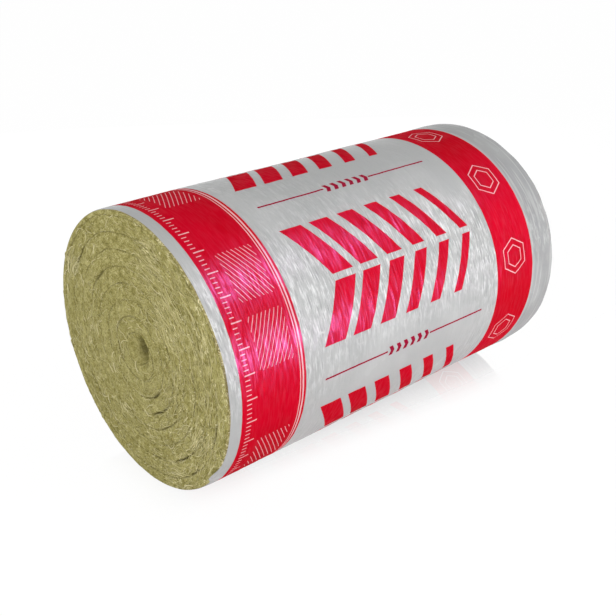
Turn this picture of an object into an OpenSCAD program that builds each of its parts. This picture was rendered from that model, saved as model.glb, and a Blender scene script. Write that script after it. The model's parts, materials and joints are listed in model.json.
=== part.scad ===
// Insulation roll: a mineral wool mat wound up on itself and held by a wrap of packing film.
// The roll lies along X on the plane z = 0, with the origin under its middle. Millimetres.

/* [Mat] */
// Width of the mat, which is the length of the roll
mat_width = 1000; // [600:10:1200]
// Thickness of one turn, squeezed as it is in the roll
turn_thickness = 35; // [25:1:60]
// Turns of the mat between the hollow and the outside
turns = 8; // [4:1:14]
// Diameter of the hollow that winding leaves in the middle
hollow_d = 40; // [24:1:80]
// Radius of the rim at the open end, where the film stops
near_rim = 6; // [3:1:12]
// Radius of the rim at the other end, where the film pulls the wool in
far_rim = 16; // [6:1:20]

/* [Seam between turns] */
// Width of the seam at the end face
seam_width = 4; // [2:0.5:8]
// Depth of the seam into the end face
seam_depth = 9; // [3:0.5:18]

/* [Film] */
// Thickness of the film
film_thickness = 0.2; // [0.1:0.05:1]
// Angle by which the film follows the rim at the open end
near_lip_angle = 30; // [10:5:85]
// Angle by which the film follows the rim at the other end
far_lip_angle = 70; // [10:5:85]
// Length by which the outer end of the film laps over its start
lap_length = 160; // [60:5:300]
// Place of the lap, as an angle from the top of the roll over its back
lap_place = 115; // [90:5:150]
// How far the lap stops short of the rims
lap_inset = 2; // [1:0.5:20]

/* [Hidden] */
$fn = 180;

hollow_r = hollow_d / 2;
roll_r = hollow_r + turns * turn_thickness;
half_width = mat_width / 2;
film_r = roll_r + film_thickness;

// The seam is a spiral of half circles. Each is half a turn wider than the last,
// and their centres lie a quarter turn to either side of the axis by turns.
half_turn = turn_thickness / 2;
seam_centre = turn_thickness / 4;
seam_start_r = hollow_r + half_turn;
seam_end_r = roll_r - max(near_rim, far_rim) - seam_centre - seam_width;
seam_arcs = floor((seam_end_r - seam_start_r) / half_turn) + 1;

// How far a cut reaches past the face that it starts from
cut_past = 1;

wool_colour = [0.62, 0.58, 0.34];
film_colour = [0.78, 0.78, 0.78];

// Lays a shape that was turned about Z along X, on the ground plane
module lay_down() {
  translate([0, 0, film_r]) rotate([0, 90, 0]) children();
}

// Half section of the wound mat: axis distance across, roll length up
module mat_section() {
  union() {
    translate([hollow_r, near_rim - half_width])
      square([roll_r - hollow_r, mat_width - near_rim - far_rim]);
    rim_section(far_rim);
    mirror([0, 1]) rim_section(near_rim);
  }
}

// The end of the mat's half section at +Y, with its rim
module rim_section(rim) {
  translate([hollow_r, half_width - 2 * rim]) square([roll_r - rim - hollow_r, 2 * rim]);
  translate([roll_r - rim, half_width - rim]) circle(rim);
}

// Section of the seam, a notch that closes towards its bottom
module seam_section() {
  mouth = seam_width / 2 * (seam_depth + cut_past) / seam_depth;
  polygon([[-mouth, -cut_past], [mouth, -cut_past], [0, seam_depth]]);
}

// The seam between the turns, as it shows on the end face at -Z
module seam_spiral() {
  for (arc = [0 : seam_arcs - 1]) {
    side = arc % 2 == 0 ? -1 : 1;
    translate([side * seam_centre, 0, -half_width])
      rotate([0, 0, side < 0 ? 0 : 180])
        rotate_extrude(angle = 180)
          translate([seam_start_r + arc * half_turn, 0]) seam_section();
  }
}

// The mat, wound up: one solid with its hollow, and its turns on both ends
module wool_roll() {
  color(wool_colour) lay_down() difference() {
    rotate_extrude() mat_section();
    seam_spiral();
    mirror([0, 0, 1]) seam_spiral();
  }
}

// A slice of the film's curl over a rim, as far as the given angle
module lip_section(rim, angle) {
  outer = rim + film_thickness;
  reach = 2 * outer;
  intersection() {
    difference() {
      circle(outer);
      circle(rim);
    }
    polygon([[0, 0], [reach, 0], [reach, reach * tan(angle / 2)], [reach * cos(angle), reach * sin(angle)]]);
  }
}

// Section of the film: straight along the roll, with a lip over each rim
module film_section() {
  union() {
    translate([roll_r, near_rim - half_width])
      square([film_thickness, mat_width - near_rim - far_rim]);
    translate([roll_r - far_rim, half_width - far_rim]) lip_section(far_rim, far_lip_angle);
    mirror([0, 1])
      translate([roll_r - near_rim, half_width - near_rim]) lip_section(near_rim, near_lip_angle);
  }
}

// Section of the lap, sunk half way into the layer under it so that the two are one sheet
module lap_section() {
  translate([roll_r + film_thickness / 2, near_rim + lap_inset - half_width])
    square([1.5 * film_thickness, mat_width - near_rim - far_rim - 2 * lap_inset]);
}

// The film: once round the roll, and two layers thick where it laps over its own start
module film_wrap() {
  lap_sweep = lap_length / film_r * 180 / PI;
  color(film_colour) lay_down() union() {
    rotate_extrude() film_section();
    rotate([0, 0, 180 - lap_place - lap_sweep / 2])
      rotate_extrude(angle = lap_sweep) lap_section();
  }
}

wool_roll();
film_wrap();
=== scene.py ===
"""Insulation roll: a wound mineral wool mat in its printed film wrap, on a pale studio floor.

Lengths are in metres and angles in radians, unless a comment says otherwise.
"""

import json
import math
import random

import bmesh
import bpy
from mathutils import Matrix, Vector, noise


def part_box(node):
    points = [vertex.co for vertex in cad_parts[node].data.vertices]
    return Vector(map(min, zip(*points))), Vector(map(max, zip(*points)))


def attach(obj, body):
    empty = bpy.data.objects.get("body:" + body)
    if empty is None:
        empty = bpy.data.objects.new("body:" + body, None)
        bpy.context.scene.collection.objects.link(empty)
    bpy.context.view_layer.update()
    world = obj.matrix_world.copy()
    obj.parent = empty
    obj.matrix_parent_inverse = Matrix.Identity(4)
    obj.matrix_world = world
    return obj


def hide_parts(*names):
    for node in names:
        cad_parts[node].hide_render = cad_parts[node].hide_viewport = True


bl_info = {
    "name": "Insulation roll",
    "version": (1, 0, 0),
    "blender": (4, 5, 0),
    "location": "View3D > Sidebar > Insulation roll",
    "description": "Builds a lying roll of mineral wool mat in its printed film wrap",
    "category": "Add Mesh",
}

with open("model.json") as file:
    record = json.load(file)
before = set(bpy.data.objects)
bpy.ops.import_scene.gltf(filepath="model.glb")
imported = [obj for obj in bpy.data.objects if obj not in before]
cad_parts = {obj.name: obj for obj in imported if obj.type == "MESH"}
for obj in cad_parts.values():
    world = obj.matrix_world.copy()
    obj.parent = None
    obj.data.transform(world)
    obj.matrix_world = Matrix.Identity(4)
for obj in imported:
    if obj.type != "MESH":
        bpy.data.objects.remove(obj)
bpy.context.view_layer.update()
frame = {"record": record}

# Sizes that the frame gives
WOOL_LOW, WOOL_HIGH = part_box("wool_roll")
FILM_LOW, FILM_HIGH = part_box("film_wrap")
MOUNTS = {mount["name"]: mount for mount in frame["record"]["mounts"]}
HALF_LENGTH = (WOOL_HIGH.x - WOOL_LOW.x) / 2
ROLL_RADIUS = (WOOL_HIGH.z - WOOL_LOW.z) / 2
AXIS_HEIGHT = (WOOL_HIGH.z + WOOL_LOW.z) / 2
HOLLOW_RADIUS = MOUNTS["hollow"]["dims"]["r_mm"] / 1000
FULL_TURN = 2 * math.pi
NEAR, FAR = -1, 1


def setting(kind, **fixed):
    """A function that makes settings of one kind, for a user to change."""

    def make(name, description, default):
        return kind(name=name, description=description, default=default, **fixed)

    return make


length = setting(bpy.props.FloatProperty, precision=4, unit="LENGTH", subtype="DISTANCE")
angle = setting(bpy.props.FloatProperty, unit="ROTATION", subtype="ANGLE")
share = setting(bpy.props.FloatProperty, precision=3)
power = setting(bpy.props.FloatProperty, unit="POWER")
optics = setting(bpy.props.FloatProperty, unit="CAMERA")
number = setting(bpy.props.IntProperty, min=1)
shift = setting(bpy.props.FloatVectorProperty, size=2, unit="LENGTH", subtype="XYZ")
spot = setting(bpy.props.FloatVectorProperty, size=3, unit="LENGTH", subtype="TRANSLATION")
colour = setting(bpy.props.FloatVectorProperty, size=4, min=0.0, max=1.0, subtype="COLOR")


class WoolSettings(bpy.types.PropertyGroup):
    """Sizes and colours of the wound mat."""

    turn: length("Turn", "Thickness of one turn of the mat", 0.035)
    near_rim: length("Near rim", "Radius of the rim at the open end", 0.006)
    far_rim: length("Far rim", "Radius of the rim at the other end", 0.016)
    first_seam: length("First seam", "Radius at which the seam starts, under the axis", 0.02875)
    seam_depth: length("Seam depth", "Depth of an open stretch of the seam", 0.0080)
    seam_half_width: length("Seam half width", "Half the width of an open stretch of the seam", 0.0021)
    crown: length("Crown", "How far each turn's end is rounded off beside the seam", 0.0012)
    stand_out: length("Stand out", "How far one turn may stand out past the next", 0.0014)
    lumps: length("Lumps", "Height of the lumps in the cut ends", 0.0017)
    hollow_shift: shift("Hollow shift", "How far aside and up its mouths lie", (0.016, 0.010))
    base: colour("Wool", "Most of the wool", (0.348, 0.311, 0.106, 1.0))
    pale: colour("Pale wool", "Pale fibres", (0.510, 0.462, 0.195, 1.0))
    deep: colour("Deep wool", "Between the fibres", (0.205, 0.180, 0.052, 1.0))
    # The crack colour is painted shade: it darkens the seam's line between the turns, and the hollow's
    # mouths and walls
    crack: colour("Crack", "Bottom of the seam", (0.095, 0.080, 0.022, 1.0))
    cream: colour("Cream", "Loose fibres", (0.800, 0.735, 0.430, 1.0))
    fibres: number("Fibres", "Loose fibres on each end", 1900)


class FilmSettings(bpy.types.PropertyGroup):
    """Sizes and colours of the film wrap."""

    lap: length("Lap", "Length by which the film laps over its own start", 0.160)
    lap_place: angle("Lap place", "Middle of the lap, from the top over the back", math.radians(115))
    lift: length("Lift", "Clear distance between the wool and the film", 0.0004)
    layer: length("Layer", "Distance between the two layers at the lap", 0.0009)
    swell: length("Swell", "Height of the slow waves over the soft wool", 0.0018)
    crease: length("Crease", "Height of the creases that run round the roll", 0.0011)
    pleat: length("Pleat", "Height of the pleats over the far rim", 0.0022)
    caught: length("Caught edge", "How far the near edge sticks out where it caught", 0.022)
    caught_place: angle("Caught place", "Where it caught, from the top over the back", math.radians(235))
    base: colour("Film", "Bare film", (0.440, 0.442, 0.444, 1.0))
    # Along the creases this colour is partly whitened film and partly a painted glint
    worn_and_glint: colour("Worn film", "Film along its creases", (0.860, 0.862, 0.862, 1.0))
    # This colour is painted shade beside the creases; on the far margin it is partly painted shade and
    # partly single-layer film
    shade: colour("Shaded film", "Film beside its creases", (0.270, 0.272, 0.275, 1.0))
    red: colour("Red", "Printed red", (0.590, 0.001, 0.016, 1.0))
    deep_red: colour("Deep red", "Red where it is printed thick", (0.520, 0.001, 0.010, 1.0))
    dark_red: colour("Dark red", "Thin rules and small arrows", (0.300, 0.004, 0.026, 1.0))
    pale_line: colour("Pale line", "Lines left bare in the red", (0.800, 0.560, 0.580, 1.0))


class PrintSettings(bpy.types.PropertyGroup):
    """Places and sizes of the print, from the near end and round the roll."""

    near_band_from: length("Near band from", "Where the near band starts", 0.0290)
    near_band_to: length("Near band to", "Where the near band stops", 0.1863)
    far_band_from: length("Far band from", "Where the far band starts", 0.7773)
    far_band_to: length("Far band to", "Where the far band stops", 0.9100)
    repeat: length("Repeat", "Length of one repeat round the roll", 0.3930)
    middle: angle("Middle", "Middle of one repeat, from the top over the front", math.radians(57))
    bars_from: length("Bars from", "Where the slanted bars start", 0.2380)
    bars_to: length("Bars to", "Where the slanted bars stop", 0.7240)
    bars: number("Bars", "Slanted bars in a row", 6)
    bar_pitch: length("Bar pitch", "Distance between two bars", 0.0740)
    bar_width: length("Bar width", "Width of the first bar", 0.0560)
    bar_taper: length("Bar taper", "How much thinner each bar is than the last", 0.0060)
    row_height: length("Row height", "Length of a bar round the roll", 0.1180)
    row_gap: length("Row gap", "Gap between the two rows of bars", 0.0140)
    lean: share("Lean", "How far a bar leans for each step round the roll", 0.55)
    rule_stroke: length("Rule stroke", "Width of the thin rule between two repeats", 0.0042)
    outline_size: length("Outline size", "Half the width of an outlined hexagon", 0.0370)
    outline_stroke: length("Outline stroke", "Width of an outline's stroke", 0.0021)


class StageSettings(bpy.types.PropertyGroup):
    """The camera, the lamps and the floor."""

    camera_place: spot("Camera place", "Where the camera stands", (-1.3393, -1.4605, 1.1814))
    camera_heading: angle("Camera heading", "Turn of the view from +Y towards +X", math.radians(41.79))
    camera_dip: angle("Camera dip", "How far the view looks down", math.radians(25.43))
    lens: optics("Lens", "Focal length for the sensor's width", 53.90)
    sensor: optics("Sensor", "Width of the sensor", 36.0)
    floor_half: length("Floor half", "Half the width of the floor", 20.0)
    sky: share("Sky", "Strength of the light from all round", 0.56)
    high_key: power("High key", "The high lamp at the right", 8.0)
    low_key: power("Low key", "The low lamp at the right", 27.0)
    fill: power("Fill", "The lamp at the left", 33.0)
    back: power("Back", "The low lamp behind the far end", 30.0)
    gloss: power("Gloss", "Each lamp that shows only as a reflection", 384.0)
    gloss_colour: colour("Gloss colour", "Lamps that show only as reflections", (0.85, 0.30, 0.95, 1.0))


def joined(operation):
    """A method that joins two wires, or a wire and a number, by a Math node."""
    return lambda self, other: self.math(operation, self, other)


class Wire:
    """One shader socket. An expression on wires adds Math nodes to their own node tree."""

    def __init__(self, tree, socket=None):
        self.tree = tree
        self.socket = socket

    def node(self, kind, sockets=(), output=0, **settings):
        """Adds any shader node: first its settings, then the values or links of its sockets."""
        made = self.tree.nodes.new("ShaderNode" + kind)
        for name, value in settings.items():
            setattr(made, name, value)
        for name, value in dict(sockets).items():
            if isinstance(value, Wire):
                self.tree.links.new(value.socket, made.inputs[name])
            else:
                made.inputs[name].default_value = value
        return Wire(self.tree, made.outputs[output] if made.outputs else None)

    def other(self, output):
        """Another output of the same node."""
        return Wire(self.tree, self.socket.node.outputs[output])

    def math(self, operation, *values):
        return self.node("Math", enumerate(values), operation=operation)

    __add__ = __radd__ = joined("ADD")
    __mul__ = __rmul__ = joined("MULTIPLY")
    __sub__ = joined("SUBTRACT")
    __truediv__ = joined("DIVIDE")
    __pow__ = joined("POWER")
    larger = joined("MAXIMUM")
    smaller = joined("MINIMUM")

    def __rsub__(self, other):
        return self.math("SUBTRACT", other, self)

    def __abs__(self):
        return self.math("ABSOLUTE", self)

    def ramp(self, low, high):
        """0 below low and 1 above high, with a smooth step between."""
        sockets = {"Value": self, "From Min": low, "From Max": high}
        return self.node("MapRange", sockets, interpolation_type="SMOOTHSTEP")

    def within(self, low, high, soft):
        """1 between low and high, with soft edges."""
        return self.ramp(low - soft, low + soft) * (1 - self.ramp(high - soft, high + soft))

    def under(self, limit, soft):
        """1 where the value is under limit, with a soft edge."""
        return 1 - self.ramp(limit - soft, limit + soft)

    def from_whole(self):
        """Distance from the nearest whole number."""
        return abs(self - self.math("ROUND", self))

    def nearest_of(self, count):
        """The nearest whole number from 0 to count - 1."""
        return self.math("ROUND", self).larger(0.0).smaller(count - 1.0)

    def attribute(self, name):
        """A number that the mesh holds at each vertex."""
        return self.node("Attribute", output="Fac", attribute_name=name)

    def split(self, vector):
        """The three parts of a vector."""
        x = self.node("SeparateXYZ", {"Vector": vector})
        return x, x.other("Y"), x.other("Z")

    def vector(self, x, y, z):
        return self.node("CombineXYZ", {"X": x, "Y": y, "Z": z})

    def bump(self, strength, distance):
        """A normal that shows this value as a height, with the distance that 1 stands for."""
        sockets = {"Strength": strength, "Distance": distance, "Height": self}
        return self.node("Bump", sockets)

    def noise(self, vector, scale, detail=2.0, roughness=0.5):
        sockets = {"Vector": vector, "Scale": scale, "Detail": detail, "Roughness": roughness}
        return self.node("TexNoise", sockets, noise_dimensions="3D")

    def mix(self, factor, one, two):
        """From colour one to colour two by a factor."""
        return self.node("Mix", {0: factor, 6: one, 7: two}, output=2, data_type="RGBA")


def new_material(name):
    """An empty node material and the wire that adds nodes to it."""
    material = bpy.data.materials.new(name)
    material.use_nodes = True
    material.node_tree.nodes.clear()
    return material, Wire(material.node_tree)


def finish_material(wire, shader):
    """Leads a shader to the material's output."""
    wire.node("OutputMaterial", {"Surface": shader})


def new_piece(name, bm, material):
    """Turns a finished bmesh into a smooth object at the origin."""
    mesh = bpy.data.meshes.new(name)
    bm.to_mesh(mesh)
    bm.free()
    mesh.shade_smooth()
    mesh.materials.append(material)
    piece = bpy.data.objects.new(name, mesh)
    bpy.context.scene.collection.objects.link(piece)
    return piece


def smooth_step(low, high, value):
    """0 below low and 1 above high, with a smooth step between."""
    t = min(max((value - low) / (high - low), 0.0), 1.0)
    return t * t * (3 - 2 * t)


def wave(scale, *place):
    """Smooth noise from -1 to 1 at a place that is scaled first."""
    return noise.noise(Vector(place) * scale)


# How the soft roll lies: a little wider than high, with a flat strip where it meets the floor
SPREAD = 0.012
SQUASH = 0.010
SINK = 0.0045
FLOOR_BEND = 0.0016


def settle(y, z):
    """Depth and height of a point of the round roll, given from its axis, once the soft roll lies."""
    height = AXIS_HEIGHT - SINK + z * (1 - SQUASH)
    return y * (1 + SPREAD), (height + math.hypot(height, FLOOR_BEND)) / 2


# Stretches of the near end's seam that gape: place on the end (right, up) and length
GAPES = (
    (0.058, -0.078, 0.040),
    (0.072, -0.110, 0.075),
    (0.142, -0.190, 0.060),
    (-0.200, 0.152, 0.075),
    (-0.045, 0.036, 0.040),
    (0.262, -0.070, 0.080),
    (0.105, 0.045, 0.050),
)
# Where the near end's cut tore pale strands loose: place on the end (right, up) and reach
TORN = (
    (0.130, 0.110, 0.085),
    (0.070, 0.225, 0.065),
    (0.230, 0.105, 0.055),
    (0.205, -0.110, 0.060),
    (-0.235, 0.130, 0.040),
)


def closeness(places, y, z, end):
    """1 in the middle of one of the near end's listed places, and 0 past the reach of all."""
    if end == FAR:
        return 0.0
    return max(0.0, max(1 - math.hypot(-y - right, z - up) / reach for right, up, reach in places))


def gape(y, z, end):
    """How wide the seam gapes at a place of an end, from 0 to 1."""
    return smooth_step(0.25, 0.75, closeness(GAPES, y, z, end))


# How far the whole right side is torn, and between which places that sets in
TORN_SIDE = 0.5
TORN_SIDE_STARTS = (-0.05, 0.14)


def tear(y, z, end):
    """How far pale strands are torn loose at a place of an end, from 0 to 1."""
    side = TORN_SIDE * smooth_step(*TORN_SIDE_STARTS, -y)
    return max(side, smooth_step(0.0, 0.6, closeness(TORN, y, z, end)))


# Waves in the seam's line: their height in turns, and how many there are to the metre
SEAM_WAVES = ((0.10, 11), (0.03, 42))
# Lumps of the cut ends: their share of the full height, and how many there are to the metre
END_LUMPS = ((1.0, 24), (0.6, 75), (0.35, 170))
# Height of the tufts, in lumps
TUFTS = 2.2
# Distances from the axis, in hollow radii, between which the seam starts to open
SEAM_OPENS = (2.0, 3.2)
# How far the seam opens where it opens by chance
CHANCE_OPENING = 0.75
# Depth of a shut stretch of the seam, as a share of an open one's
SHUT_DEPTH = 0.12


def layered(waves, y, z, end):
    """Sum of waves at a place of an end, each given as its height and its number to the metre."""
    return sum(height * wave(scale, y, z, end) for height, scale in waves)


def end_relief(wool, y, z, end):
    """Height of a cut end at a place, how far its seam is open, and its wander in turns."""
    radius = math.hypot(y, z)
    turned = math.atan2(y, -z) % FULL_TURN / FULL_TURN
    wander = layered(SEAM_WAVES, y, z, end)
    turns_out = (radius - wool.first_seam) / wool.turn - turned + wander
    gap = abs(turns_out - round(turns_out)) * wool.turn
    along = math.floor(turns_out) + turned
    opening = CHANCE_OPENING * smooth_step(0.10, 0.55, wave(19, y, z, 5.3 * end))
    opening = max(opening, gape(y, z, end)) * smooth_step(*SEAM_OPENS, radius / HOLLOW_RADIUS)
    crack = max(0.0, 1 - gap / (wool.seam_half_width * (0.8 + 0.5 * opening)))
    rounding = (1 - gap / (wool.turn / 2)) ** 3
    height = wool.stand_out * wave(1.9, along, 7.0 * end, 0.5)
    height -= wool.crown * rounding
    height -= wool.seam_depth * crack * (SHUT_DEPTH + (1 - SHUT_DEPTH) * opening)
    height += wool.lumps * layered(END_LUMPS, y, z, end)
    tufts = abs(wave(48, y, z, 4.0 + end)) * abs(wave(130, y, z, 9.0 + end))
    return height + TUFTS * wool.lumps * tufts, opening, wander


def near_hollow(reach, radius):
    """1 at the hollow's wall, and 0 past a reach in hollow radii."""
    return 1 - smooth_step(1.0, reach, radius / HOLLOW_RADIUS)


# How winding presses the hollow's mouths: its reach in hollow radii, its depth, and how much narrower
# and higher they get
PRESS_REACH = 4.2
PRESS_DEPTH = 0.25
PRESS_NARROWER = 0.20
PRESS_HIGHER = 0.15


def squeeze_hollow(wool, y, z, depth, end):
    """Where a place near the hollow lies once winding has pressed its mouth and pushed it aside."""
    weight = near_hollow(PRESS_REACH, math.hypot(y, z)) * (1 - smooth_step(0.0, PRESS_DEPTH, depth))
    aside, up = wool.hollow_shift
    pressed_y = y * (1 - PRESS_NARROWER * weight) + end * weight * aside
    pressed_z = z * (1 + PRESS_HIGHER * weight) + weight * up
    return pressed_y, pressed_z


# Cuts in the sides of the half section, and steps round the axis
RADIAL_CUTS = 138
RIM_CUTS = 4
SIDE_CUTS = 12
HOLLOW_CUTS = 18
AROUND = 296


def wool_profile(bm, wool):
    """Draws half of the roll's section, from the hollow round both rims, and returns its parts."""
    corners = (
        (-HALF_LENGTH, HOLLOW_RADIUS),
        (-HALF_LENGTH, ROLL_RADIUS),
        (-HALF_LENGTH + wool.near_rim, ROLL_RADIUS),
        (HALF_LENGTH - wool.far_rim, ROLL_RADIUS),
        (HALF_LENGTH, ROLL_RADIUS),
        (HALF_LENGTH, HOLLOW_RADIUS),
    )
    cuts = (HOLLOW_CUTS, RADIAL_CUTS, RIM_CUTS, SIDE_CUTS, RIM_CUTS, RADIAL_CUTS)
    verts = [bm.verts.new((x, 0, radius)) for x, radius in corners]
    edges = [bm.edges.new((verts[i - 1], verts[i])) for i in range(len(verts))]
    for edge, count in zip(edges, cuts):
        bmesh.ops.subdivide_edges(bm, edges=[edge], cuts=count)
    return list(bm.verts) + list(bm.edges)


def round_rim(rim, x, radius):
    """Moves a place in the outer corner of the section onto the rim's curve."""
    along, out = abs(x) - (HALF_LENGTH - rim), radius - (ROLL_RADIUS - rim)
    if along <= 0 or out <= 0:
        return x, radius
    scale = max(along, out) / math.hypot(along, out)
    return math.copysign(HALF_LENGTH - rim + along * scale, x), ROLL_RADIUS - rim + out * scale


def rim_at(wool, end):
    """Radius of the rim at an end."""
    return wool.near_rim if end == NEAR else wool.far_rim


# The hollow's mouths: depth of their funnel, and reach of it, of their painted shade and of the waves in
# the hollow's wall, in hollow radii
FUNNEL_DEPTH = 0.012
FUNNEL_REACH = 2.0
SHADE_REACH = 1.7
WALL_REACH = 2.5
# Depths in the hollow between which painted shade darkens its wall
PAINTED_SHADE_DEPTHS = (-0.002, 0.025)
# How far the cut ends stand back from the mat's full width, which their lumps make up again
END_BACK = 0.001
# Depth of the wool's shallowest dents under the film, and how much deeper the others may be
DENT = 0.0003
DENT_MORE = 0.0006
# Height of the waves in the hollow's wall
HOLLOW_WAVES = 0.008
# What the mesh holds at each vertex for the wool's material, where inside marks the hollow's painted
# shade
WOOL_LAYERS = ("opening", "wander", "torn", "inside")


def shape_wool(bm, wool):
    """Gives the turned solid its rims, its spiral of turns, its lumps and its lie."""
    layers = [bm.verts.layers.float.new(name) for name in WOOL_LAYERS]
    for vert in bm.verts:
        x, y, z = vert.co
        end = NEAR if x < 0 else FAR
        rim = rim_at(wool, end)
        radius = math.hypot(y, z)
        new_x, new_radius = round_rim(rim, x, radius)
        depth = HALF_LENGTH - abs(new_x)
        y, z = y * new_radius / radius, z * new_radius / radius
        height, opening, wander = end_relief(wool, y, z, end)
        on_face = 1 - smooth_step(0.0, wool.far_rim, depth)
        clear_of_rim = 1 - smooth_step(ROLL_RADIUS - rim, ROLL_RADIUS - 0.3 * rim, new_radius)
        funnel = FUNNEL_DEPTH * near_hollow(FUNNEL_REACH, new_radius)
        height = on_face * (height * clear_of_rim - END_BACK - funnel)
        # Painted shade: the hollow's mouth and its wall deep inside are darkened in the material through
        # this value
        mouth = near_hollow(SHADE_REACH, new_radius) * (0.55 + 0.45 * wave(90, y, 0.4 * z, end))
        inside = max(mouth, smooth_step(*PAINTED_SHADE_DEPTHS, depth))
        values = (on_face * opening * clear_of_rim, wander, tear(y, z, end), inside)
        for layer, value in zip(layers, values):
            vert[layer] = value
        dent = DENT + DENT_MORE * abs(wave(20, x, y, z))
        dent *= smooth_step(0.9, 0.99, new_radius / ROLL_RADIUS)
        inner = HOLLOW_WAVES * wave(14, 2 * x, y * 4, z * 4) * near_hollow(WALL_REACH, new_radius)
        scale = (new_radius - dent + inner) / new_radius
        y, z = settle(*squeeze_hollow(wool, y * scale, z * scale, depth, end))
        vert.co = (new_x + end * height, y, z)


# How far the run of the fibres swings in and out
FIBRE_SWING = 0.020
# Added to a squared radius, which keeps it above 0 on the axis
ABOVE_ZERO = 1e-6


def wool_seam(wire, wool, position):
    """Distance from the seam at a place of an end, and the fibres' own coordinates there."""
    _, across, up = wire.split(position)
    across = across / (1 + SPREAD)
    up = (up - AXIS_HEIGHT + SINK) / (1 - SQUASH)
    radius = (across * across + up * up + ABOVE_ZERO) ** 0.5
    turned = across.math("ARCTAN2", across, up * -1) / FULL_TURN
    turns_out = (radius - wool.first_seam) / wool.turn - turned + wire.attribute("wander")
    gap = turns_out.from_whole() * wool.turn
    # Round the axis the fibres are long, and outwards they are fine, with a slow swing in their run
    swing = wire.noise(position, 38.0, detail=1.0) - 0.5
    run = wire.vector(across / radius, up / radius, 0.0)
    out = radius + swing * FIBRE_SWING
    return gap, run, out


def fibre_noise(run, out, round_scale, out_scale, detail):
    """Noise that is drawn out round the axis: its scale round it and outwards."""
    stretched = run.node("VectorMath", {"Vector": run, "Scale": round_scale}, operation="SCALE")
    outwards = run.vector(0.0, 0.0, out * out_scale)
    place = run.node("VectorMath", {0: stretched, 1: outwards}, operation="ADD")
    return run.noise(place, 1.0, detail=detail, roughness=0.6)


# Widths beside the seam: its pale fringe, its line of painted shade, and how much wider an open line is
FRINGE = 0.006
SEAM_LINE = 0.0016
SEAM_LINE_MORE = 0.0012
# Height of the fibres in the wool's surface
WOOL_BUMP = 0.0026


def wool_material(wool):
    """Matt olive wool: fine fibres round the axis, pale strands, and painted shade in the cracks between
    the turns and in the hollow.
    """
    material, wire = new_material("mineral_wool")
    position = wire.node("TexCoord", output="Object")
    gap, run, out = wool_seam(wire, wool, position)
    streaks = fibre_noise(run, out, 24, 330, 3.0)
    strands = fibre_noise(run, out, 46, 620, 1.0)
    clumps = wire.noise(position, 60.0, detail=3.0)
    fuzz = wire.noise(position, 210.0, detail=3.0, roughness=0.65)
    layers = fibre_noise(run, out, 2.5, 30, 2.0)
    opening, inside, torn = (wire.attribute(name) for name in ("opening", "inside", "torn"))
    fringe = 1 - (gap / FRINGE).ramp(0.3, 1.0)
    tone = streaks * 0.40 + fuzz * 0.30 + clumps * 0.18 + layers * 0.12 - torn * 0.026
    base = wire.mix(tone.ramp(0.42, 0.50), wool.deep, wool.base)
    base = wire.mix(tone.ramp(0.50, 0.58), base, wool.pale)
    flecks = (strands + torn * 0.10).ramp(0.62, 0.67) * (clumps.ramp(0.42, 0.58) + fringe * 0.6)
    wisps = (fibre_noise(run, out, 10, 300, 1.0) + torn * 0.03).ramp(0.66, 0.69)
    flecks = flecks.larger(wisps * torn.ramp(0.3, 0.9))
    base = wire.mix(flecks * 0.9, base, wool.cream)
    # Painted shade: a dark line along the seam between the turns, wider where the seam is open
    line = 1 - (gap / (SEAM_LINE + SEAM_LINE_MORE * opening)).ramp(0.30, 1.25)
    shut = 0.18 + 0.42 * clumps.ramp(0.44, 0.56)
    base = wire.mix(line * shut.larger(opening * 0.9), base, wool.crack)
    # Painted shade in the hollow's mouths and deep inside it, in the crack colour
    base = wire.mix(inside * 0.8, base, wool.crack)
    height = streaks * 0.5 + fuzz * 0.4 + flecks * 0.25
    shader = wire.node("BsdfPrincipled", {
        "Base Color": base, "Roughness": 0.96, "Specular IOR Level": 0.12,
        "Normal": height.bump(0.8, WOOL_BUMP),
    })
    finish_material(wire, shader)
    return material


class ROLL_OT_wind_wool(bpy.types.Operator):
    """Winds the wool mat: a turned solid with its hollow and its spiral of turns on both ends"""

    bl_idname = "roll.wind_wool"
    bl_label = "Wind the wool"

    def execute(self, context):
        wool = context.scene.roll_wool
        bm = bmesh.new()
        profile = wool_profile(bm, wool)
        bmesh.ops.spin(
            bm, geom=profile, cent=(0, 0, 0), axis=(1, 0, 0),
            angle=FULL_TURN, steps=AROUND, use_merge=True,
        )
        shape_wool(bm, wool)
        bmesh.ops.recalc_face_normals(bm, faces=bm.faces)
        piece = new_piece("wound_wool", bm, wool_material(wool))
        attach(piece, "root")
        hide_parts("wool_roll")
        return {"FINISHED"}


# Sides and parts of a fibre's mesh, and where the random draws start
FIBRE_SIDES = 3
FIBRE_PARTS = 6
FIBRE_SEED = 41
# Distance from the axis past which fibres lie, in hollow radii
FIBRES_PAST = 2.0
# Chance of a fibre at a place, before patches and torn places change it, and how much those do
FIBRE_CHANCE = 0.15
FIBRE_PATCHES = 0.5
FIBRE_TORN = 0.5
# Shortest and longest fibre, and the least and greatest rise of a fibre's middle
FIBRE_LENGTHS = (0.008, 0.030)
FIBRE_RISES = (0.0006, 0.0026)
# Radius of the thinnest fibre, how much thicker others may be, and how much more if torn
FIBRE_THIN = 0.0003
FIBRE_THICKER = 0.0010
TORN_THICKER = 0.0005
# Depth of a fibre's ends in the wool
FIBRE_ROOT = 0.0016
# How far fibres stray from their run and bend to the metre, and how much less torn strands do both
FIBRE_STRAY = 0.5
FIBRE_BEND = 16
TORN_STRAIGHTER = 0.7


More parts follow.
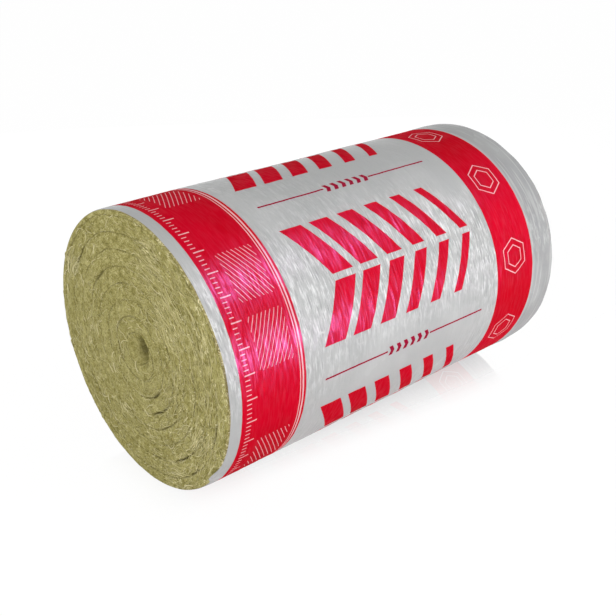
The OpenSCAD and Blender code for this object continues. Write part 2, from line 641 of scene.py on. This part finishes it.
def fibre_template():
    """One straight fibre along X, a unit long and a unit thick, as a mesh to copy."""
    bm = bmesh.new()
    ring = bmesh.ops.create_circle(bm, segments=FIBRE_SIDES, radius=1.0)["verts"]
    along_x = Vector((0, 0, 1)).rotation_difference((1, 0, 0)).to_matrix()
    bmesh.ops.rotate(bm, verts=ring, cent=(0, 0, 0), matrix=along_x)
    edges = list(bm.edges)
    for _ in range(FIBRE_PARTS):
        made = bmesh.ops.extrude_edge_only(bm, edges=edges)["geom"]
        edges = [item for item in made if isinstance(item, bmesh.types.BMEdge)]
        verts = [item for item in made if isinstance(item, bmesh.types.BMVert)]
        edges = [edge for edge in edges if all(vert in verts for vert in edge.verts)]
        bmesh.ops.translate(bm, verts=verts, vec=(1 / FIBRE_PARTS, 0, 0))
    mesh = bpy.data.meshes.new("fibre_template")
    bm.to_mesh(mesh)
    bm.free()
    return mesh


def lay_fibre(wool, draw, verts, tint_layer, end):
    """Bends one copied fibre over a cut end: its ends in the wool and its middle free."""
    while True:
        right, up = draw.uniform(-1, 1) * ROLL_RADIUS, draw.uniform(-1, 1) * ROLL_RADIUS
        radius = math.hypot(right, up)
        torn = tear(-right, up, end)
        favoured = FIBRE_CHANCE + FIBRE_PATCHES * wave(9, right, up, 3 * end) + FIBRE_TORN * torn
        on_end = FIBRES_PAST * HOLLOW_RADIUS < radius < ROLL_RADIUS - wool.near_rim
        if on_end and draw.random() < favoured:
            break
    y, z = -right, up
    free = 1 - TORN_STRAIGHTER * torn
    heading = math.atan2(z, y) + math.pi / 2 + draw.gauss(0, FIBRE_STRAY) * free
    long = draw.uniform(*FIBRE_LENGTHS) * (1 + torn)
    thick = FIBRE_THIN + (FIBRE_THICKER + TORN_THICKER * torn) * draw.random() ** 3
    bend = draw.gauss(0, FIBRE_BEND) * free
    rise = draw.uniform(*FIBRE_RISES)
    tint = draw.random()
    inside_rim = ROLL_RADIUS - rim_at(wool, end)
    for vert in verts:
        t, side_y, side_x = vert.co
        s = (t - 0.5) * long
        arch = 1 - (2 * t - 1) ** 2
        turn = heading + bend * s
        here_y, here_z = y + s * math.cos(turn), z + s * math.sin(turn)
        height = end_relief(wool, here_y, here_z, end)[0]
        lift = -FIBRE_ROOT + rise * arch + thick * side_x
        here_y -= thick * side_y * math.sin(turn)
        here_z += thick * side_y * math.cos(turn)
        kept = min(1.0, inside_rim / math.hypot(here_y, here_z))
        here_y, here_z = here_y * kept, here_z * kept
        settled_y, settled_z = settle(*squeeze_hollow(wool, here_y, here_z, 0.0, end))
        vert.co = (end * (HALF_LENGTH + height + lift), settled_y, settled_z)
        vert[tint_layer] = tint


def fibre_material(wool):
    """Loose fibres, from the wool's own olive to cream."""
    material, wire = new_material("loose_wool_fibre")
    position = wire.node("TexCoord", output="Object")
    patchy = wire.noise(position, 260.0, detail=1.0)
    creamy = wire.attribute("tint").ramp(0.25, 0.9) * (0.55 + 0.45 * patchy)
    base = wire.mix(creamy, wool.pale, wool.cream)
    shader = wire.node("BsdfPrincipled", {
        "Base Color": base, "Roughness": 0.8, "Specular IOR Level": 0.25,
    })
    finish_material(wire, shader)
    return material


class ROLL_OT_lay_fibres(bpy.types.Operator):
    """Lays loose fibres over both cut ends of the wool"""

    bl_idname = "roll.lay_fibres"
    bl_label = "Lay the loose fibres"

    def execute(self, context):
        wool = context.scene.roll_wool
        template = fibre_template()
        draw = random.Random(FIBRE_SEED)
        bm = bmesh.new()
        tint_layer = bm.verts.layers.float.new("tint")
        for end in (NEAR, FAR):
            for _ in range(wool.fibres):
                before = len(bm.verts)
                bm.from_mesh(template)
                bm.verts.ensure_lookup_table()
                lay_fibre(wool, draw, bm.verts[before:], tint_layer, end)
        bpy.data.meshes.remove(template)
        bmesh.ops.recalc_face_normals(bm, faces=bm.faces)
        piece = new_piece("loose_fibres", bm, fibre_material(wool))
        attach(piece, "root")
        return {"FINISHED"}


# Cells of the film's mesh across it and along it
FILM_ACROSS = 380
FILM_ROUND = 255


class FilmCut:
    """The film as it is cut and laid: its width over the rims and its length with the lap."""

    def __init__(self, wool, film):
        self.near_rim = wool.near_rim + film.lift
        self.far_rim = wool.far_rim + film.lift
        self.near_straight = HALF_LENGTH - wool.near_rim
        self.far_straight = HALF_LENGTH - wool.far_rim
        self.near_arc = self.near_rim * math.asin((-FILM_LOW.x - self.near_straight) / self.near_rim)
        self.far_arc = self.far_rim * math.asin((FILM_HIGH.x - self.far_straight) / self.far_rim)
        self.width = self.near_arc + self.near_straight + self.far_straight + self.far_arc
        self.radius = ROLL_RADIUS + film.lift
        self.round = FULL_TURN * self.radius
        self.length = self.round + film.lap
        self.start = film.lap_place - film.lap / self.radius / 2

    def section(self, across):
        """Place along the roll, distance from the axis and outward slope at a place across the film."""
        from_far = across - self.width + self.far_arc
        if across < self.near_arc:
            rim, straight, past = self.near_rim, -self.near_straight, across - self.near_arc
        elif from_far > 0:
            rim, straight, past = self.far_rim, self.far_straight, from_far
        else:
            return across - self.near_arc - self.near_straight, self.radius, 0.0
        lean = past / rim
        return straight + rim * math.sin(lean), self.radius - rim * (1 - math.cos(lean)), lean


# Where the film is crumpled most, from the top over the back, and how far round that reaches
CRUMPLED = math.radians(295)
CRUMPLED_REACH = math.radians(24)
# Distances from the far end between which the film is calmer, folds, and gathers over the rim
FAR_CALM = (0.14, 0.08)
FAR_FOLDS = (0.10, 0.04)
FAR_GATHERS = (0.022, 0.0)
# Distances from the near end between which the film is sunk in the rim, and lies flat
NEAR_SUNK = (0.003, 0.009)
NEAR_FLAT = (0.003, 0.025)
# How deep the near edge sinks into the soft rim
NEAR_SINK = 0.0010


def ridges(*place):
    """Noise as ridges: 1 along each ridge, and less beside it."""
    return 1 - abs(noise.noise(place))


def towards_far(places, x):
    """0 before the first of two places, given from the far end, and 1 past the second."""
    before, past = places
    return smooth_step(HALF_LENGTH - before, HALF_LENGTH - past, x)


def film_slack(x, turned):
    """How finely the film is crumpled at a place, from 0 to 1."""
    front = math.exp(-((turned - CRUMPLED) / CRUMPLED_REACH) ** 2)
    y, z = math.sin(turned), math.cos(turned)
    patches = smooth_step(-0.35, 0.45, noise.noise((3.5 * x, 1.6 * y, 1.6 * z + 4)))
    return min(1.0, 0.15 + 0.30 * patches + 0.75 * front) * (1 - 0.45 * towards_far(FAR_CALM, x))


def film_relief(film, x, turned, slack):
    """Height of the film's creases over the wool at a place. Only its near edge sinks into the rim."""
    y, z = ROLL_RADIUS * math.sin(turned), ROLL_RADIUS * math.cos(turned)
    swell = film.swell * (0.5 + 0.5 * noise.noise((7 * x, 6 * y, 6 * z)))
    ridge = ridges(44 * x, 4.0 * y, 4.0 * z + 3)
    fine = ridges(95 * x, 9.0 * y, 9.0 * z + 8)
    skew = ridges(19 * x + 9 * y, 14 * z - 6 * x, 5.0)
    height = swell + slack * film.crease * (0.9 * ridge ** 4 + 0.6 * fine ** 3 + 0.6 * skew ** 9)
    folds = ridges(34 * x, 2.2 * y, 2.2 * z)
    height += towards_far(FAR_FOLDS, x) * film.pleat * 0.9 * folds ** 3
    gathers = 0.5 + 0.5 * noise.noise((6 * x, 36 * y, 36 * z))
    height += film.pleat * gathers * towards_far(FAR_GATHERS, x)
    near_edge = 1 - smooth_step(*NEAR_FLAT, x + HALF_LENGTH)
    tucked = 1 - smooth_step(*NEAR_SUNK, x + HALF_LENGTH)
    return height * (1 - 0.85 * near_edge) - NEAR_SINK * tucked


# The lap: distances before a full turn between which the film climbs onto its own start, and
# the length of its loose end
LAP_CLIMB = (0.035, 0.004)
LOOSE_END = 0.03
# The near edge: how far in it shows, how far it is drawn back, and by how much that varies
EDGE_REACH = 0.012
EDGE_BACK = 0.0022
EDGE_WAVES = 0.0016
# How far round the roll the caught place reaches
CAUGHT_REACH = math.radians(4)


def shape_film(bm, film, cut):
    """Rolls the flat sheet round the wool, over both rims and over its own start."""
    uv = bm.loops.layers.uv.new("film")
    slack_layer = bm.verts.layers.float.new("slack")
    flat = {vert: ((vert.co.x + 0.5) * cut.width, (vert.co.y + 0.5) * cut.length) for vert in bm.verts}
    for face in bm.faces:
        for loop in face.loops:
            loop[uv].uv = flat[loop.vert]
    for vert, (across, run) in flat.items():
        x, radius, lean = cut.section(across)
        turned = (cut.start + run / cut.radius) % FULL_TURN
        over_start = smooth_step(*(cut.round - before for before in LAP_CLIMB), run)
        loose_end = smooth_step(cut.length - LOOSE_END, cut.length, run)
        slack = film_slack(x, turned)
        height = film_relief(film, x, turned, slack)
        height += film.layer * over_start * (1 + 0.8 * loose_end * (1 + wave(9, x, 2.0, 0.0)))
        edge = math.exp(-across / EDGE_REACH)
        ripple = noise.noise((3.0, 5 * math.sin(turned), 5 * math.cos(turned)))
        x += edge * (EDGE_BACK + EDGE_WAVES * ripple)
        caught = edge * math.exp(-((turned - film.caught_place) / CAUGHT_REACH) ** 2)
        x -= film.caught * caught * (0.8 + 0.6 * wave(37, turned, 0.53, 0.31))
        radius += height * math.cos(lean)
        x += height * math.sin(lean)
        y, z = settle(radius * math.sin(turned), radius * math.cos(turned))
        vert.co = (x, y, z)
        vert[slack_layer] = slack


# Half the width over which the print's fields, thin rule and fine lines fade, and how far edges stray
FIELD_SOFT = 0.0006
RULE_SOFT = 0.00036
LINE_SOFT = 0.0005
STRAY = 0.0012
# Arrows in a row, and their pitch
ARROWS = 6
ARROW_PITCH = 0.022


def slanted_bars(prints, along, cell):
    """Two mirrored rows of slanted bars, each thinner than the last."""
    reach = prints.row_gap / 2 + prints.row_height
    across = along - prints.bars_from + (cell - reach) * prints.lean
    place = (across - prints.bar_width / 2) / prints.bar_pitch
    nearest = place.nearest_of(prints.bars)
    half_width = (prints.bar_width - nearest * prints.bar_taper) / 2
    inside = (abs(place - nearest) * prints.bar_pitch - half_width).under(0.0, FIELD_SOFT)
    return inside * cell.within(prints.row_gap / 2, reach, FIELD_SOFT)


def broken_rule(prints, along, height):
    """A thin rule between two repeats, with a row of small arrows in its middle."""
    from_middle = along - (prints.bars_from + prints.bars_to) / 2
    half_row = ARROWS * ARROW_PITCH / 2
    rule = height.under(prints.rule_stroke / 2, RULE_SOFT)
    rule = rule * abs(from_middle).ramp(half_row, half_row + FIELD_SOFT)
    rule = rule * along.within(prints.bars_from, prints.bars_to, FIELD_SOFT)
    place = (from_middle + (height - ARROW_PITCH / 4) * prints.lean) / ARROW_PITCH + (ARROWS - 1) / 2
    from_arrow = abs(place - place.nearest_of(ARROWS)) * ARROW_PITCH
    arrows = from_arrow.under(ARROW_PITCH / 4, FIELD_SOFT) * height.under(ARROW_PITCH / 2, FIELD_SOFT)
    return rule.larger(arrows)


# The near band's scale: pitch, length and half stroke of its short ticks and its long ones
TICKS = ((0.010, 0.011, 0.0009), (0.050, 0.024, 0.0012))
# How far in from the band's outer edge the scale starts
SCALE_IN = 0.012
# Rules along the band's inner edge: how far from it each starts and stops
EDGE_RULES = ((0.0150, 0.0130), (0.0090, 0.0055))
# Hatched fields: where they start past the scale's start and stop before the inner edge, and the pitch
# and half stroke of their lines
HATCH_FROM = 0.036
HATCH_TO = 0.027
HATCH_PITCH = 0.010
HATCH_STROKE = 0.0007


def near_lines(prints, along, around, cell):
    """The near band's bare lines: hatched fields, a scale, and rules along the inner edge."""
    start, stop = prints.near_band_from + SCALE_IN, prints.near_band_to
    hatch = ((along + cell * prints.lean) / HATCH_PITCH).from_whole() * HATCH_PITCH
    fields = along.within(start + HATCH_FROM, stop - HATCH_TO, LINE_SOFT)
    fields = fields * cell.within(prints.row_gap, prints.row_height, LINE_SOFT)
    lines = fields * hatch.under(HATCH_STROKE, LINE_SOFT)
    for pitch, reach, stroke in TICKS:
        ticks = ((around / pitch).from_whole() * pitch).under(stroke, LINE_SOFT)
        lines = lines.larger(ticks * along.within(start, start + reach, LINE_SOFT))
    for outer, inner in EDGE_RULES:
        lines = lines.larger(along.within(stop - outer, stop - inner, LINE_SOFT))
    return lines


# Size of a hexagon that lies inside another, as a share of it, and the angle of a hexagon
INNER_HEXAGON = 0.62
SIXTH_TURN = FULL_TURN / 6


def far_lines(prints, along, cell):
    """The far band's bare lines: outlined hexagons along its middle, each with another inside it."""
    across = abs(along - (prints.far_band_from + prints.far_band_to) / 2)
    height = abs(cell - prints.repeat / 4)
    size = across.larger(across * math.cos(SIXTH_TURN) + height * math.sin(SIXTH_TURN))
    outer = abs(size - prints.outline_size)
    inner = abs(size - prints.outline_size * INNER_HEXAGON)
    return outer.smaller(inner).under(prints.outline_stroke / 2, LINE_SOFT)


def film_print(prints, cut, along, around):
    """Masks of the print: all that is red, its thin dark lines, and the pale lines left bare in it."""
    stray = (along.noise(along.vector(along, around, 0.0), 60.0, detail=2.0) - 0.5) * STRAY
    along = along + stray
    around = around + stray
    near_band = along.within(prints.near_band_from, prints.near_band_to, FIELD_SOFT)
    far_band = along.within(prints.far_band_from, prints.far_band_to, FIELD_SOFT)
    middle = (FULL_TURN - prints.middle - cut.start) * cut.radius
    cell = ((around - middle) / prints.repeat).from_whole() * prints.repeat
    dark = broken_rule(prints, along, prints.repeat / 2 - cell)
    red = near_band.larger(far_band).larger(slanted_bars(prints, along, cell)).larger(dark)
    pale = near_lines(prints, along, around, cell) * near_band
    return red, dark, pale.larger(far_lines(prints, along, cell) * far_band)


def sheet_noise(across, run, layer, detail):
    """Noise on the flat film, at coordinates that are scaled first."""
    return run.noise(run.vector(across, run, layer), 1.0, detail=detail)


def fold_noise(across, run, layer):
    """Distance from the folds of a crumpled sheet, with straight slopes beside each fold."""
    return abs(sheet_noise(across, run, layer, 1.0) - 0.5)


# Length over which the far margin sets in past its band, and height of the folds in the surface
MARGIN_SOFT = 0.012
FOLD_BUMP = 0.0036
# Tint under which the coloured gloss looks grey on the bare film
GREY_GLOSS = (0.353, 1.000, 0.316, 1.0)


def film_material(prints, film, cut):
    """Grey packing film: glossy, finely creased, with painted glints and painted shade along its
    creases, and its print in red.
    """
    material, wire = new_material("printed_packing_film")
    flat = wire.node("UVMap", uv_map="film")
    along, around, _ = wire.split(flat)
    slack = wire.attribute("slack")
    red, dark, pale = film_print(prints, cut, along, around)
    patches = sheet_noise(along * 7, around * 5, 9.0, 3.0)
    sparse = sheet_noise(along * 90, around * 30, 2.0, 2.0)
    long_folds = fold_noise(along * 75, around * 15, 0.0)
    short_folds = fold_noise(along * 170, around * 36, 4.0)
    cross_folds = fold_noise(along * 60 + around * 30, around * 60 - along * 26, 7.0)
    crease = (1 - long_folds.ramp(0.0, 0.05)).larger(1 - short_folds.ramp(0.0, 0.09))
    slack_share = slack.ramp(0.25, 0.90)
    streaks = sheet_noise(along * 250, around * 28, 3.0, 2.0)
    # Painted glints: pale streaks along the creases where the film is slack, most of all on the front,
    # partly whitened film; also pale folds on the far margin and a trace in the ink
    worn_and_glint = crease * sparse.ramp(0.40, 0.66) * 0.55
    worn_and_glint = worn_and_glint.larger(streaks.ramp(0.50, 0.66) * sparse.ramp(0.36, 0.58) * 0.75) * slack_share
    # Painted shade: dark streaks beside the creases where the film is slack
    shaded = (1 - streaks.ramp(0.34, 0.47)) * slack_share * 0.50
    far_folds = sheet_noise(along * 150, around * 6, 5.0, 1.0).ramp(0.54, 0.68)
    # The far margin is darkened: partly painted shade, partly single-layer film
    far_margin = along.ramp(prints.far_band_to, prints.far_band_to + MARGIN_SOFT)
    worn_and_glint = worn_and_glint.larger(far_folds * far_margin * 0.2)
    grey = wire.mix(shaded.larger(far_margin * 0.65), film.base, film.shade)
    grey = wire.mix(worn_and_glint, grey, film.worn_and_glint)
    grey = wire.mix(patches.ramp(0.40, 0.70) * 0.12, grey, film.worn_and_glint)
    ink = wire.mix(patches.ramp(0.35, 0.65), film.red, film.deep_red)
    ink = wire.mix(dark, ink, film.dark_red)
    ink = wire.mix(pale * 0.85, ink, film.pale_line)
    ink = wire.mix(worn_and_glint * 0.02, ink, film.pale_line)
    height = (streaks * 0.5 - long_folds - short_folds * 0.6 - cross_folds * 0.6) * (0.12 + slack)
    bare = wire.node("BsdfPrincipled", {
        "Base Color": grey, "Roughness": 0.17 + 0.16 * patches, "Specular IOR Level": 0.04,
        "Specular Tint": GREY_GLOSS, "Normal": height.bump(1.0, FOLD_BUMP),
    })
    printed = wire.node("BsdfPrincipled", {
        "Base Color": ink, "Roughness": 0.12 + 0.12 * patches, "Specular IOR Level": 0.0,
        "Coat Weight": 0.024 + 0.090 * streaks.ramp(0.42, 0.60), "Coat Roughness": 0.38,
        "Normal": height.bump(0.4, FOLD_BUMP),
    })
    finish_material(wire, wire.node("MixShader", {0: red, 1: bare, 2: printed}))
    return material


class ROLL_OT_wrap_film(bpy.types.Operator):
    """Wraps the printed film round the wool, over both rims and over its own start"""

    bl_idname = "roll.wrap_film"
    bl_label = "Wrap the film"

    def execute(self, context):
        scene = context.scene
        film = scene.roll_film
        cut = FilmCut(scene.roll_wool, film)
        bm = bmesh.new()
        bmesh.ops.create_grid(bm, x_segments=FILM_ACROSS, y_segments=FILM_ROUND, size=0.5)
        shape_film(bm, film, cut)
        bm.normal_update()
        first = next(iter(bm.faces))
        outward = first.calc_center_median() - Vector((0, 0, AXIS_HEIGHT))
        outward.x = 0
        if first.normal.dot(outward) < 0:
            bmesh.ops.reverse_faces(bm, faces=bm.faces)
        piece = new_piece("printed_film", bm, film_material(scene.roll_print, film, cut))
        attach(piece, "root")
        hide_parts("film_wrap")
        return {"FINISHED"}


def looked_at(wire):
    """1 for rays of the camera, of reflections and of what shines through, and 0 for others."""
    rays = wire.node("LightPath", output="Is Camera Ray")
    return rays.larger(rays.other("Is Glossy Ray")).larger(rays.other("Is Transmission Ray"))


# The floor's mirror: its reach aside and its strength at the near end, and what the far end has more
MIRROR_REACH = 0.20
MIRROR_REACH_MORE = 0.09
MIRROR = 0.22
MIRROR_MORE = 0.18
# Places from the near end between which the mirror sets in
MIRROR_FROM = -0.08
MIRROR_TO = 0.15
# Colours of the glow and mirror, of what lamps show on the floor, and of what it throws on the roll
WHITE = (1.0, 1.0, 1.0, 1.0)
SHOWN_GREY = (0.05, 0.05, 0.05, 1.0)
BOUNCE_GREY = (0.75, 0.75, 0.75, 1.0)


def floor_material():
    """White studio floor: it keeps a trace of shadow, and mirrors the roll close to where it lies."""
    material, wire = new_material("studio_floor")
    along, aside, _ = wire.split(wire.node("TexCoord", output="Object"))
    to_far = along.ramp(-HALF_LENGTH, HALF_LENGTH)
    fade = 1 - (abs(aside) / (MIRROR_REACH + MIRROR_REACH_MORE * to_far)).ramp(0.35, 1.0)
    mirrored = fade * (MIRROR + MIRROR_MORE * to_far)
    mirrored = mirrored * along.ramp(MIRROR_FROM - HALF_LENGTH, MIRROR_TO - HALF_LENGTH)
    glow = wire.node("Emission", {"Color": WHITE, "Strength": 0.965})
    plain = wire.node("BsdfDiffuse", {"Color": SHOWN_GREY})
    mirror = wire.node("BsdfGlossy", {"Color": WHITE, "Roughness": 0.06})
    seen = wire.node("AddShader", {0: glow, 1: plain})
    seen = wire.node("MixShader", {0: mirrored, 1: seen, 2: mirror})
    bounce = wire.node("BsdfDiffuse", {"Color": BOUNCE_GREY})
    sockets = {0: looked_at(wire), 1: bounce, 2: seen}
    finish_material(wire, wire.node("MixShader", sockets))
    return material


def light_world(stage):
    """Even light from all round, and plain white where the camera or a reflection looks at it."""
    world = bpy.data.worlds.new("studio_world")
    world.use_nodes = True
    world.node_tree.nodes.clear()
    wire = Wire(world.node_tree)
    strength = looked_at(wire) * (1 - stage.sky) + stage.sky
    light = wire.node("Background", {"Color": WHITE, "Strength": strength})
    wire.node("OutputWorld", {"Surface": light})
    bpy.context.scene.world = world


def hold(name, data, place, view):
    """An object that holds a lamp or a camera at a place and turns it along a view."""
    holder = bpy.data.objects.new(name, data)
    holder.location = place
    holder.rotation_euler = view.to_track_quat("-Z", "Y").to_euler()
    bpy.context.scene.collection.objects.link(holder)
    return holder


# Lamps: place, what they face, width and height, and the setting that holds their power
LAMPS = {
    "high_key": ((1.05, -1.30, 2.40), (-0.3, -0.2, 0.4), (0.55, 0.55), "high_key"),
    "low_key": ((1.05, -2.40, 0.50), (-0.3, -0.2, 0.4), (0.55, 0.75), "low_key"),
    "fill_lamp": ((-2.6, -1.2, 1.4), (-0.5, 0, 0.3), (1.6, 1.6), "fill"),
    "back_lamp": ((1.5, 2.3, 0.30), (0, 0, 0.2), (1.6, 0.5), "back"),
    "high_gloss": ((0.66, -1.22, 2.05), (-0.4, -0.2, 0.5), (0.50, 0.45), "gloss"),
    "low_gloss": ((0.66, -2.11, 0.42), (-0.4, -0.3, 0.4), (0.50, 0.50), "gloss"),
}


def add_lamp(stage, name, place, target, size, power_from):
    """A soft lamp. The gloss lamps show only as reflections, and the back lamp never does."""
    lamp = bpy.data.lights.new(name, "AREA")
    lamp.shape = "RECTANGLE"
    lamp.size, lamp.size_y = size
    lamp.energy = getattr(stage, power_from)
    holder = hold(name, lamp, place, Vector(target) - Vector(place))
    holder.visible_glossy = power_from != "back"
    if power_from == "gloss":
        holder.visible_diffuse = False
        lamp.color = stage.gloss_colour[:3]


def add_camera(stage):
    """The camera that sees the roll as in the photograph."""
    camera = bpy.data.cameras.new("photo_camera")
    camera.sensor_width = stage.sensor
    camera.lens = stage.lens
    level = math.cos(stage.camera_dip)
    view = Vector((
        math.sin(stage.camera_heading) * level,
        math.cos(stage.camera_heading) * level,
        -math.sin(stage.camera_dip),
    ))
    return hold("photo_camera", camera, stage.camera_place, view)


class ROLL_OT_set_stage(bpy.types.Operator):
    """Sets the floor, the lamps and the camera"""

    bl_idname = "roll.set_stage"
    bl_label = "Set the stage"

    def execute(self, context):
        scene = context.scene
        stage = scene.roll_stage
        bm = bmesh.new()
        bmesh.ops.create_grid(bm, x_segments=1, y_segments=1, size=stage.floor_half)
        new_piece("studio_floor", bm, floor_material())
        light_world(stage)
        for name, lamp in LAMPS.items():
            add_lamp(stage, name, *lamp)
        scene.camera = add_camera(stage)
        scene.view_settings.view_transform = "Standard"
        return {"FINISHED"}


class ROLL_PT_sidebar(bpy.types.Panel):
    """Lists the pieces of the roll and their settings"""

    bl_idname = "ROLL_PT_sidebar"
    bl_label = "Insulation roll"
    bl_space_type = "VIEW_3D"
    bl_region_type = "UI"
    bl_category = "Insulation roll"

    def draw(self, context):
        for group, (_, *operators) in GROUPS.items():
            box = self.layout.box()
            settings = getattr(context.scene, group)
            for name in settings.__annotations__:
                box.prop(settings, name)
            for operator in operators:
                box.operator(operator.bl_idname)


# Each group of settings, and the operators that are listed under it
GROUPS = {
    "roll_wool": (WoolSettings, ROLL_OT_wind_wool, ROLL_OT_lay_fibres),
    "roll_film": (FilmSettings, ROLL_OT_wrap_film),
    "roll_print": (PrintSettings,),
    "roll_stage": (StageSettings, ROLL_OT_set_stage),
}
CLASSES = [cls for group in GROUPS.values() for cls in group] + [ROLL_PT_sidebar]


def register():
    for cls in CLASSES:
        bpy.utils.register_class(cls)
    for name, (settings, *_) in GROUPS.items():
        setattr(bpy.types.Scene, name, bpy.props.PointerProperty(type=settings))


def unregister():
    for name in GROUPS:
        delattr(bpy.types.Scene, name)
    for cls in reversed(CLASSES):
        bpy.utils.unregister_class(cls)


def main():
    register()
    bpy.ops.roll.set_stage()
    bpy.ops.roll.wind_wool()
    bpy.ops.roll.lay_fibres()
    bpy.ops.roll.wrap_film()


if __name__ == "__main__":
    main()
